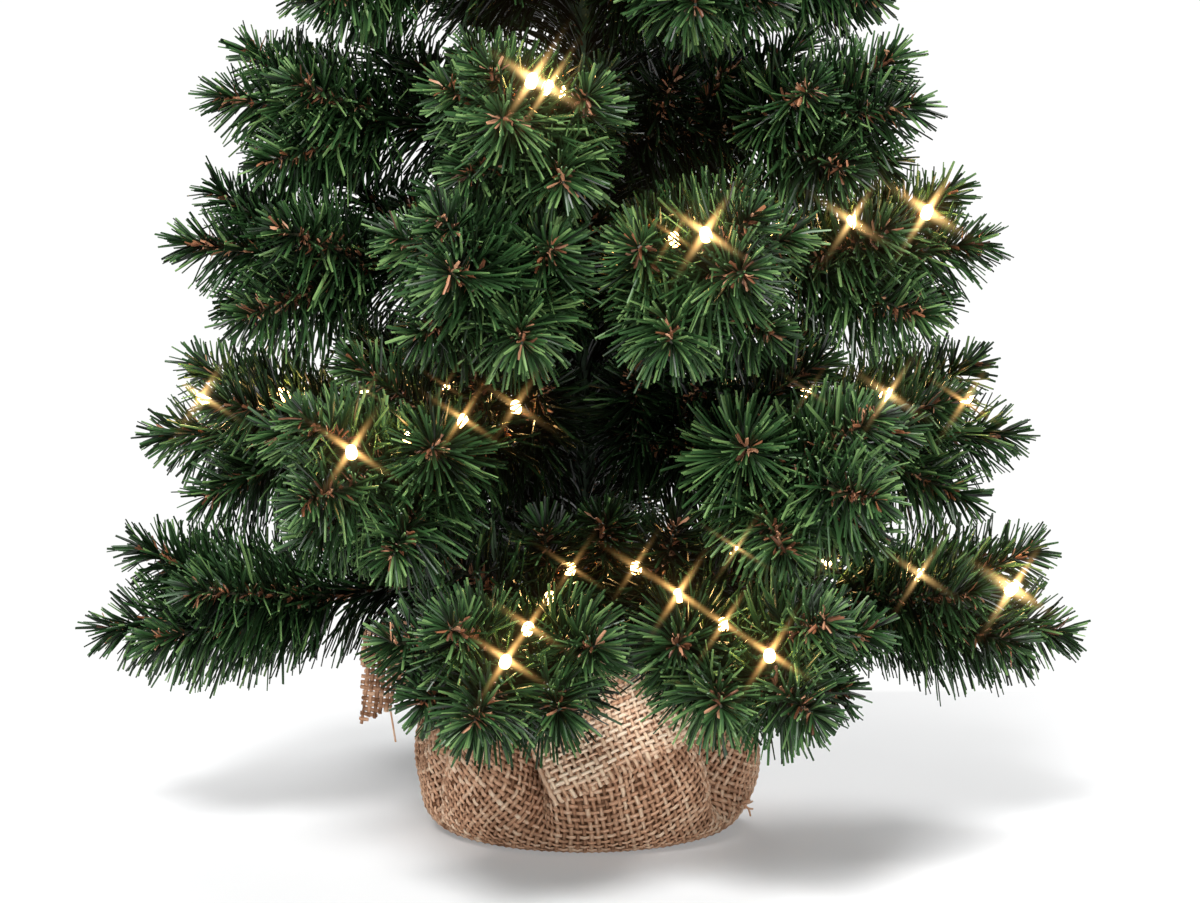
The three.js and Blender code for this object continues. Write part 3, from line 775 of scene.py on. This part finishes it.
def sack_surface(rho, azimuth):
    """The folded sack at flat radius rho (mm from the sheet's middle) and azimuth (degrees)."""
    run = np.clip(rho - BASE_EDGE, 0, PROFILE_RUN[-1])
    radius = np.interp(run, PROFILE_RUN, PROFILE[:, 0])
    height = np.interp(run, PROFILE_RUN, PROFILE[:, 1])
    growth = np.interp(height, [2, 14, 30, 50, 75, 95], [0, 0.35, 0.75, 1.1, 1.5, 1.0])
    dip = np.zeros_like(radius + azimuth)
    for middle, slant, half, depth in FOLDS:
        offset = (azimuth - middle - slant * (height - FOLD_MIDDLE) + 180) % 360 - 180
        deepest = np.minimum(depth * growth, 0.45 * radius)
        dip = np.maximum(dip, deepest * np.exp(-np.abs(offset / half) ** 1.6))
    room = radius - np.interp(height, [58, 74], [TUB_RADIUS + 4, 14])
    dip = np.minimum(dip, np.maximum(room, 0))
    angle = np.radians(azimuth)
    bulge = 1.2 * np.sin(angle * 3 + 0.6) + 0.8 * np.sin(angle * 8 + height * 0.06)
    return wall_point(rho, azimuth, smoothstep(3, 20, height) * (np.clip(radius / 60, 0, 1) * bulge - dip))


def surface_frame(surface, x, y, step=0.5):
    """Points of a surface of two variables, with its unit normals."""
    by_x = surface(x + step, y) - surface(x - step, y)
    by_y = surface(x, y + step) - surface(x, y - step)
    return surface(x, y), unit(np.cross(by_x, by_y))


def sheet_to_sack():
    """How the flat square sheet gathers into the sack: it keeps its threads evenly spaced round every height,
    so the cloth that doesn't fit round the tub goes into the folds. Maps flat x, y to points and outward
    normals."""
    per_degree = 4
    steps = 360 * per_degree
    radii = np.linspace(BASE_EDGE - 4, SHEET_RADIUS, 120)
    angles = np.linspace(FRONT - 180, FRONT + 180, steps + 1)
    grid = sack_surface(radii[:, None] + 0 * angles, angles + 0 * radii[:, None])
    run = np.cumsum(np.linalg.norm(np.diff(grid, axis=1), axis=2), axis=1)
    run = np.concatenate([np.zeros((len(radii), 1)), run], axis=1)
    front = steps // 2
    run = run - run[:, front:front + 1]
    flat = run / (run[:, -1:] - run[:, :1]) * 360 + FRONT
    flat = flat - (flat[:, :1] - (FRONT - 180)) * np.linspace(1, 0, steps + 1) ** 3
    table = np.stack([np.interp(angles, row, angles) for row in flat])

    def place(x, y):
        rho = np.hypot(x, y)
        angle = (np.degrees(np.arctan2(y, x)) - FRONT + 180) % 360
        row = np.clip((rho - radii[0]) / (radii[1] - radii[0]), 0, len(radii) - 1.001)
        column = angle * per_degree
        i, j = row.astype(int), np.minimum(column.astype(int), steps - 1)
        u, v = row - i, column - j
        azimuth = ((table[i, j] * (1 - v) + table[i, j + 1] * v) * (1 - u)
                   + (table[i + 1, j] * (1 - v) + table[i + 1, j + 1] * v) * u)
        point, inward = surface_frame(sack_surface, rho, azimuth)
        return point, -inward

    return place


def weave(shape, place, inside, x_range, y_range, pitch=THREAD_PITCH, fray=0.0, tone=0.5):
    """Plain-woven threads over a surface. place maps flat x, y to points and normals, inside says where the
    threads of family 0 or 1 lie, fray is how far their ends may stand past the edge, and tone is the mean
    shade."""
    ranges = (x_range, y_range)
    for family in (0, 1):
        low, high = ranges[family]
        stops = np.arange(math.floor(low / pitch * 2), math.ceil(high / pitch * 2) + 1) * pitch / 2
        first, last = ranges[1 - family]
        for k in range(math.ceil(first / pitch), math.floor(last / pitch) + 1):
            lane = k * pitch + np.interp(stops, stops[::9], rng.normal(0, 0.13, len(stops[::9])))
            x, y = (stops, lane) if family == 0 else (lane, stops)
            within = inside(x, y, family).astype(int)
            for _ in range(rng.integers(0, 1 + int(fray / pitch * 2)) if fray else 0):
                within = np.maximum(within, np.maximum(np.roll(within, 1), np.roll(within, -1)))
            edges = np.flatnonzero(np.diff(np.concatenate([[0], within, [0]])))
            yarn_tone = np.clip(rng.normal(tone, 0.15), 0.05, 0.95)
            for start, end in zip(edges[::2], edges[1::2]):
                if end - start > 2:
                    span = slice(start, end)
                    add_thread(shape, place, x[span], y[span], k, stops[span] / pitch, family, yarn_tone)


def add_thread(shape, place, x, y, lane, steps, family, tone):
    """One yarn of a weave: it goes over and under the yarns it crosses, and has thick and thin stretches."""
    path, normal = place(x, y)
    over = np.cos(np.pi * (lane + steps)) * (1 if family == 0 else -1)
    path = path + normal * (WEAVE_DEPTH * over)[:, None]
    tangent = unit(np.gradient(path, axis=0))
    knots = np.arange(0, len(x) + 6, 5)
    slub = 1 + np.interp(np.arange(len(x)), knots, rng.normal(0, 0.13, len(knots)))
    across = unit(np.cross(normal, tangent))
    over_yarn = np.cross(tangent, across)
    points, faces = sweep(path, across, over_yarn, THREAD_HALF_WIDTH * slub, THREAD_HALF_HEIGHT * slub, 4)
    # lighter where the yarn passes over a crossing yarn: painted shade where it dips under
    shade = np.clip(tone + 0.5 * (slub - 1) + 0.12 * over, 0, 1)
    shape.add(points, faces, family, np.concatenate([np.repeat(shade, 4), [tone, tone]]))


def add_loose_yarn(shape, points, radius=0.45):
    shape.add(*tube(spline(points, 24), radius, 6), 0, rng.uniform(0.3, 0.8))


BURLAP = (
    burlap_material("jute_weft", (0.20, 0.092, 0.046), (0.74, 0.435, 0.275), (1.00, 0.80, 0.60)),
    burlap_material("jute_warp", (0.17, 0.078, 0.038), (0.64, 0.370, 0.230), (0.98, 0.75, 0.54)),
)


def add_tuft(shape):
    """A few yarn ends that stick out low on the sack's right side."""
    for _ in range(9):
        start = wall_point(np.array(BASE_EDGE + 22.0), np.array(rng.uniform(334, 340)), 2.0)
        away = unit(np.array([0.8, -0.5, rng.uniform(-0.5, 0.9)]) + rng.normal(0, 0.35, 3))
        add_loose_yarn(shape, [start, start + away * 3, start + away * 5 + rng.normal(0, 1.0, 3)])


def build_sack():
    shape = Shape()
    reach = (-SHEET_RADIUS, SHEET_RADIUS)

    def inside(x, y, _):
        rho = np.hypot(x, y)
        return (rho > BASE_EDGE - 3) & (rho < SHEET_RADIUS - 1)

    weave(shape, sheet_to_sack(), inside, reach, reach, tone=0.42)
    add_tuft(shape)
    shape.piece("burlap_sack_weave", BURLAP, ["burlap_wrap"])
    bottom = Shape()
    profile = [(0.5, 0.15), (BASE_EDGE - 2, 0.15), (BASE_EDGE + 1.5, 1.0), (BASE_EDGE - 2, 1.6), (0.5, 1.6)]
    bottom.add(*turned(profile, np.zeros(3), UP, 72), 1, 0.35)
    bottom.piece("burlap_bottom", BURLAP)


def build_painted_shade_lining():
    """A dark layer of cloth inside the sack, which the holes of its weave show as brown: painted shade."""
    rho = np.linspace(BASE_EDGE + 2, SHEET_RADIUS - 3, 60)[:, None]
    azimuth = np.arange(0, 360, 2.0)[None]
    point, inward = surface_frame(sack_surface, rho + 0 * azimuth, azimuth + 0 * rho)
    rings = np.concatenate([point + inward * 1.7, (point + inward * 2.3)[::-1]])
    count, sides = rings.shape[:2]
    r, s = np.meshgrid(np.arange(count), np.arange(sides), indexing="ij")
    ahead, next_side = (r + 1) % count, (s + 1) % sides
    corners = [r * sides + s, r * sides + next_side, ahead * sides + next_side, ahead * sides + s]
    shape = Shape()
    # shade 0.02, the darkest jute colour: painted shade
    shape.add(rings, [np.stack(corners, -1).reshape(-1, 4)], 1, 0.02)
    shape.piece("burlap_painted_shade_lining", BURLAP)


def flap_surface(u, v):
    """The front flap, over flat u along its hem and v up from it."""
    x = u * math.cos(FLAP_TILT) - v * math.sin(FLAP_TILT)
    y = np.clip(FLAP_CORNER_RUN + u * math.sin(FLAP_TILT) + v * math.cos(FLAP_TILT), 4, PROFILE_RUN[-1] - 9)
    radius = np.interp(y, PROFILE_RUN, PROFILE[:, 0])
    gathered = smoothstep(60, 122, y)
    turn = np.degrees(x * (1 - 0.72 * gathered) / np.maximum(radius, 16))
    lift = 4.6 + 4.5 * smoothstep(22, 0, v) + 3.5 * smoothstep(40, FLAP_HEM, u) * smoothstep(50, 0, v)
    lift = lift + 1.0 * np.sin(u * 0.12 + v * 0.05)
    return wall_point(BASE_EDGE + y, FLAP_CORNER_AZIMUTH + 28 * gathered + turn, lift) + UP * 0.5


def build_front_flap():
    """The front edge of the sheet, folded down over the sack. Its weave runs along its slanting hem."""
    def inside(u, v, family):
        fringe = FRINGE * family
        return (u > 0) & (u < FLAP_HEM) & (v > -fringe) & (v < FLAP_HEIGHT)

    shape = Shape()
    weave(shape, lambda u, v: surface_frame(flap_surface, u, v), inside, (-4, FLAP_HEM + 4),
          (-8, FLAP_HEIGHT + 4), FLAP_PITCH, tone=0.68)
    shape.piece("burlap_front_hem", BURLAP)


def build_corner(name, azimuth, outline, turn, phase):
    """A loose corner of the sheet that stands out from the trunk. outline holds its corners, as distance from
    the trunk and height, turn is the angle of its weave, and phase shifts its waves."""
    out, aside = heading(azimuth, 0), heading(azimuth + 90, 0)
    c, s = math.cos(math.radians(turn)), math.sin(math.radians(turn))
    edge = np.array(outline, float)

    def surface(x, y):
        reach, height = x * c - y * s, x * s + y * c
        wave = 4.5 * np.sin(reach * 0.085 + height * 0.03 + phase)
        wave = wave + 1.6 * np.sin(reach * 0.21 - height * 0.1 + phase)
        stray = wave * smoothstep(15, 50, reach)
        return reach[..., None] * out + stray[..., None] * aside + height[..., None] * UP

    def inside(x, y, _):
        reach, height = x * c - y * s, x * s + y * c
        within = np.zeros(x.shape, bool)
        for (x0, y0), (x1, y1) in zip(edge, np.roll(edge, -1, axis=0)):
            if y0 != y1:
                crosses = (y0 > height) != (y1 > height)
                within ^= crosses & (reach < (x1 - x0) * (height - y0) / (y1 - y0) + x0)
        return within

    shape = Shape()
    sheet = (-70, 150)
    # tone 0.3, darker than the sack: painted shade from the branches above
    weave(shape, lambda x, y: surface_frame(surface, x, y), inside, sheet, sheet, CORNER_PITCH, 1.6, 0.3)
    for share in (0.25, 0.5, 0.8):
        reach, height = edge[3] * (1 - share) + edge[4] * share
        start = reach * out + height * UP
        down = aside * rng.normal(0, 3) - out * rng.uniform(0, 6) - UP * rng.uniform(9, 17)
        add_loose_yarn(shape, [start, start + down * 0.5 + out * rng.normal(0, 1.5), start + down])
    shape.piece(name, BURLAP)


def build_burlap():
    build_sack()
    build_painted_shade_lining()
    build_front_flap()
    left = ((14, 106), (58, 100), (98, 88), (99, 47), (50, 79), (14, 100))
    right = ((14, 106), (60, 99), (104, 84), (108, 59), (62, 84), (14, 100))
    back = ((14, 106), (50, 99), (84, 84), (88, 55), (48, 80), (14, 100))
    build_corner("burlap_left_corner", 187, left, 6, 0.4)
    build_corner("burlap_right_corner", 355, right, -14, 1.9)
    build_corner("burlap_back_corner", 128, back, 9, 3.1)


def add_twine_turns(shape, radius, middle):
    """Two turns of three plies twisted together."""
    turn = np.linspace(0, 4 * np.pi, 260)
    lay = middle + 1.05 * (turn / (2 * np.pi) - 1)
    out = circle(turn)
    core = radius * out + lay[:, None] * UP
    for ply in range(3):
        spin = turn * radius / 5.5 * np.pi + ply * 2.094
        path = core + 0.55 * turned_from(out, UP, spin)
        shape.add(*tube(path, 0.62, 6), 0, 0.5 + 0.15 * (ply - 1))


def add_twine_knot(shape, front):
    """The knot, with its two tails."""
    for side in (-1, 1):
        tail = [front + [0, -0.6, 0], front + [side * 4, -4, 2.5], front + [side * 9, -9, -2],
                front + [side * 12, -16, -9]]
        shape.add(*tube(spline(tail, 30), 1.0, 8), 0, 0.55)
    knot = []
    for a in np.linspace(0, 6.0, 9):
        loop = np.array([math.sin(a), -0.5 - 0.6 * math.cos(2 * a), math.sin(2 * a) * 0.7])
        knot.append(front + 2.2 * loop)
    shape.add(*tube(spline(knot, 50), 1.0, 8), 0, 0.5)


def build_twine():
    material = burlap_material("twine_jute", (0.08, 0.045, 0.024), (0.30, 0.18, 0.10), (0.55, 0.38, 0.24))
    low, high = box_mm("twine_tie")
    radius, middle = (high[0] - low[0]) / 2 - 1.3, (low[2] + high[2]) / 2
    azimuth = 4.4  # radians
    shape = Shape()
    add_twine_turns(shape, radius, middle)
    add_twine_knot(shape, np.array([radius * math.cos(azimuth), radius * math.sin(azimuth), middle]))
    shape.piece("twine_cord", (material,), ["twine_tie"])


# ---- trunk, box and what is inside ----

def build_trunk():
    """The pole with its tape: a slightly ridged spiral wrap that swells over the branch wires."""
    low, high = box_mm("trunk_pole")
    tiers = sorted({round(j["pos_m"][2] / MM) for j in frame["joints"] if j["type"] == "hinge"})
    heights = np.arange(low[2], high[2], 1.6)
    swell = sum(smoothstep(15, 9, np.abs(heights - tier)) for tier in tiers)
    radius = 4.4 + 2.4 * swell
    radius = radius * np.where(heights > high[2] - 42, 0.62, 1.0)
    sides = 20
    turn = np.arange(sides) / sides * 2 * np.pi
    ridge = 0.16 * np.abs(np.sin((heights[:, None] / 11 * np.pi + turn / 2)))
    rings = (radius[:, None] + ridge)[..., None] * circle(turn)
    rings = rings + heights[:, None, None] * UP
    shape = Shape()
    ends = [[0, 0, low[2]], [0, 0, heights[-1]]]
    shape.add(np.vstack([rings.reshape(-1, 3), ends]), ring_faces(len(heights), sides))
    shape.piece("trunk_tape", (tape_material(),), ["trunk_pole"])


def build_trunk_cable():
    """The lead from the battery box up the back of the trunk, with the last two bulbs at its end."""
    low, high = box_mm("battery_housing")
    pole_top = box_mm("trunk_pole")[1][2]

    def around_pole(radius, height, azimuth):
        return heading(azimuth, 0) * radius + UP * height

    exit_hole = np.array([high[0] + 0.3, (low[1] + high[1]) / 2, (low[2] + high[2]) / 2])
    points = [exit_hole, exit_hole + [12, -2, 6 - exit_hole[2]]]
    climb = ((96, 20, 56), (90, 52, 60), (66, 84, 64), (34, 106, 68), (17, 122, 60), (11, 136, 50))
    points += [around_pole(*place) for place in climb]
    points += [around_pole(9.7, height, TRUNK_CABLE_AZIMUTH) for height in range(150, int(pole_top) - 20, 46)]
    end = ((11.7, pole_top - 12, 56), (15, pole_top + 14, 72), (14, pole_top + 56, 78))
    points += [around_pole(*place) for place in end]
    path = spline(points, 400)
    shape = Shape()
    shape.add(*tube(path, CABLE_RADIUS, 8), 0)
    add_bulb(shape, path[376], heading(76, 20))
    add_bulb(shape, path[396], heading(76, 55))
    shape.piece("trunk_cable_string", STRING, ["trunk_cable"])


def finish_hardware():
    """Materials and softened edges for the CAD pieces whose shapes stay."""
    tub = plastic_material("tub_plastic", (0.012, 0.010, 0.008), (0.022, 0.018, 0.014), 0.6, 700)
    cement = plastic_material("cement", (0.26, 0.25, 0.23), (0.46, 0.45, 0.42), 0.85, 350)
    box = plastic_material("box_plastic", (0.010, 0.014, 0.011), (0.020, 0.026, 0.021), 0.5, 1400)
    lid = plastic_material("lid_plastic", (0.012, 0.016, 0.013), (0.024, 0.030, 0.025), 0.48, 1400)
    knob = plastic_material("knob_plastic", (0.62, 0.62, 0.58), (0.78, 0.78, 0.74), 0.35, 900)
    board = plastic_material("board_mask", (0.01, 0.11, 0.03), (0.02, 0.20, 0.06), 0.35, 500)
    spring = metal_material("spring_steel", (0.45, 0.44, 0.42), (0.8, 0.79, 0.76))
    sleeve = metal_material("cell_sleeve", (0.16, 0.17, 0.18), (0.30, 0.32, 0.33))
    finishes = {
        "base_tub": tub, "cement_weight": cement, "battery_housing": box, "battery_lid": lid,
        "switch_knob": knob, "control_board": board, "contact_spring_strip": spring,
        "contact_plate_strip": spring, "battery_1": sleeve, "battery_2": sleeve, "battery_3": sleeve,
    }
    for name, material in finishes.items():
        obj = frame["nodes"][name]
        obj.data.materials.clear()
        obj.data.materials.append(material)
        edges = obj.modifiers.new("soft_edges", "BEVEL")
        edges.width = (0.7 if name in ("battery_housing", "base_tub") else 0.25) * MM
        edges.segments = 2
        edges.limit_method = "ANGLE"
        edges.angle_limit = math.radians(50)


# ---- stage ----

def floor_material():
    """White paper. It burns out to pure white away from the tree and behind the sweep line."""
    m = Material("floor_paper", roughness=0.8)
    m.shader.inputs["Base Color"].default_value = (0.84, 0.845, 0.85, 1)
    m.shader.inputs["Specular IOR Level"].default_value = 0.2
    place = m.node("ShaderNodeSeparateXYZ")
    m.link(m.position(), place.inputs[0])
    length = m.node("ShaderNodeVectorMath", operation="LENGTH")
    m.link(m.position(), length.inputs[0])
    away = m.node("ShaderNodeMapRange", From_Min=SHADE_NEAR, From_Max=SHADE_FAR, To_Min=SHADOW_LIFT)
    m.link(length.outputs["Value"], away.inputs["Value"])
    behind = m.node("ShaderNodeMapRange", From_Min=SWEEP_LINE - SWEEP_SOFTNESS,
                    From_Max=SWEEP_LINE + SWEEP_SOFTNESS)
    m.link(place.outputs["Y"], behind.inputs["Value"])
    white = m.math("MAXIMUM", away.outputs["Result"], behind.outputs["Result"])
    seen = m.node("ShaderNodeLightPath").outputs["Is Camera Ray"]
    glow = m.node("ShaderNodeEmission", Color=(1, 1, 1, 1), Strength=PURE_WHITE)
    mix = m.node("ShaderNodeMixShader")
    m.link(m.math("MULTIPLY", white, seen), mix.inputs["Fac"])
    m.link(m.shader.outputs["BSDF"], mix.inputs[1])
    m.link(glow.outputs["Emission"], mix.inputs[2])
    m.link(mix.outputs["Shader"], m.nodes["Material Output"].inputs["Surface"])
    return m.material


def build_world():
    """White for the camera, a weaker even light for everything else."""
    world = bpy.data.worlds.new("studio")
    bpy.context.scene.world = world
    world.use_nodes = True
    tree = world.node_tree
    path = tree.nodes.new("ShaderNodeLightPath")
    strength = tree.nodes.new("ShaderNodeMapRange")
    strength.inputs["To Min"].default_value = FILL_LIGHT
    strength.inputs["To Max"].default_value = PURE_WHITE
    tree.links.new(path.outputs["Is Camera Ray"], strength.inputs["Value"])
    tree.nodes["Background"].inputs["Color"].default_value = (1, 1, 1, 1)
    tree.links.new(strength.outputs["Result"], tree.nodes["Background"].inputs["Strength"])


def point_at(obj, place, aim):
    obj.location = place
    obj.rotation_euler = (aim - place).to_track_quat("-Z", "Y").to_euler()


def softbox(name, place, aim, size, watts):
    light = bpy.data.lights.new(name, "AREA")
    light.energy, light.size, light.shape = watts, size, "DISK"
    point_at(add_object(name, light), Vector(place), Vector(aim))


def build_stage():
    mesh = bpy.data.meshes.new("floor")
    size = FLOOR_SIZE
    corners = [(-size, -size, 0), (size, -size, 0), (size, size, 0), (-size, size, 0)]
    mesh.from_pydata(corners, [], [(0, 1, 2, 3)])
    floor = add_object("floor", mesh)
    mesh.materials.append(floor_material())
    build_world()
    softbox("key_softbox", (-0.5, -1.9, 2.3), (0, 0, 0.15), 1.1, 120)
    softbox("front_softbox", (0.4, -2.4, 0.45), (0, 0, 0.08), 0.9, 18)
    softbox("top_softbox", (0.6, 0.7, 2.4), (0, 0, 0.3), 1.2, 45)
    softbox("back_softbox", (-0.6, 2.2, 1.5), (0, 0, 0.4), 1.2, 15)


def build_camera():
    """A long lens at the front, looking slightly down, framed on the lower part of the tree."""
    aim, elevation = Vector(CAMERA_AIM), math.radians(CAMERA_ELEVATION)
    camera = bpy.data.cameras.new("camera")
    camera.sensor_width = SENSOR_WIDTH
    camera.lens = SENSOR_WIDTH * CAMERA_DISTANCE / FRAME_WIDTH
    camera.clip_end = 200
    obj = add_object("camera", camera)
    away = Vector((0, -math.cos(elevation), math.sin(elevation)))
    point_at(obj, aim + away * CAMERA_DISTANCE, aim)
    bpy.context.scene.camera = obj


def glare(tree, kind, **settings):
    made = tree.nodes.new("CompositorNodeGlare")
    made.glare_type = kind
    for key, value in settings.items():
        made.inputs[key.replace("_", " ")].default_value = value
    return made


def set_view():
    """Plain colour response, with a soft halo and a four-pointed star round the brightest bulbs."""
    scene = bpy.context.scene
    scene.view_settings.view_transform = "Standard"
    scene.use_nodes = True
    tree = scene.node_tree
    tree.nodes.clear()
    picture = tree.nodes.new("CompositorNodeRLayers")
    result = tree.nodes.new("CompositorNodeComposite")
    halo = glare(tree, "BLOOM", Threshold=8.0, Strength=0.16, Size=0.22, Saturation=1.0)
    star = glare(tree, "STREAKS", Threshold=20.0, Strength=0.6, Streaks=4, Iterations=3, Fade=0.80,
                 Color_Modulation=0.0, Streaks_Angle=math.radians(57), Saturation=1.0)
    tree.links.new(picture.outputs["Image"], halo.inputs["Image"])
    tree.links.new(halo.outputs["Image"], star.inputs["Image"])
    tree.links.new(star.outputs["Image"], result.inputs["Image"])


build_branches()
build_leader()
build_trunk_needles()
build_burlap()
build_twine()
build_trunk()
build_trunk_cable()
finish_hardware()
build_stage()
build_camera()
set_view()
